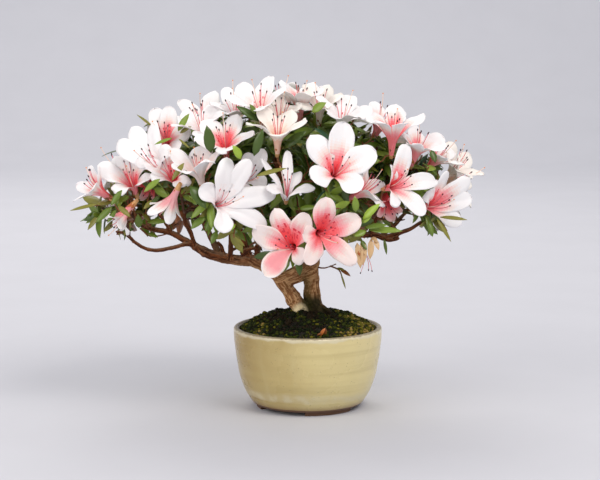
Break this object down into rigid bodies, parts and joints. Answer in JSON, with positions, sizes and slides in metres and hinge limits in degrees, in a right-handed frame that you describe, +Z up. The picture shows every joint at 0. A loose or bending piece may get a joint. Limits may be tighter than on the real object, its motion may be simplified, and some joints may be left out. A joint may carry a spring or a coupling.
{
  "type": "azalea bonsai",
  "caption": "Small azalea tree in full bloom, with twisting trunks under a broad dome of leaves and flowers, planted in a round glazed bowl pot.",
  "frame": {"origin": "on the axis of the pot, at the level that its foot stands on", "axes": "+Z up, +X to the right of the tree seen from its front, which looks towards -Y"},
  "size_m": [0.3993, 0.2806, 0.3363],
  "materials": {
    "glaze": "gloss",
    "soil": "matte",
    "bark": "matte",
    "foliage": "satin"
  },
  "bodies": {
    "root": {"pot": "glaze", "soil": "soil", "trunk_left": "bark", "trunk_right": "bark", "trunk_bridge": "bark", "bough_left": "bark", "bough_far_left": "bark", "bough_low_left": "bark", "bough_low_left_tip": "bark", "bough_left_high": "bark", "bough_left_front": "bark", "bough_front_left": "bark", "bough_top_left": "bark", "bough_back_left": "bark", "bough_back": "bark", "bough_top": "bark", "bough_back_top": "bark", "bough_front": "bark", "bough_front_high": "bark", "bough_top_right": "bark", "bough_right": "bark", "bough_far_right": "bark", "bough_right_front": "bark", "bough_right_high": "bark", "bough_back_right": "bark", "bough_far_back": "bark", "mass_far_left": "foliage", "mass_low_left": "foliage", "mass_left_high": "foliage", "mass_left_front": "foliage", "mass_front_left": "foliage", "mass_top_left": "foliage", "mass_back_left": "foliage", "mass_back": "foliage", "mass_top": "foliage", "mass_back_top": "foliage", "mass_front": "foliage", "mass_front_high": "foliage", "mass_top_right": "foliage", "mass_right_front": "foliage", "mass_right_high": "foliage", "mass_far_right": "foliage", "mass_back_right": "foliage", "mass_far_back": "foliage"}
  },
  "joints": []
}
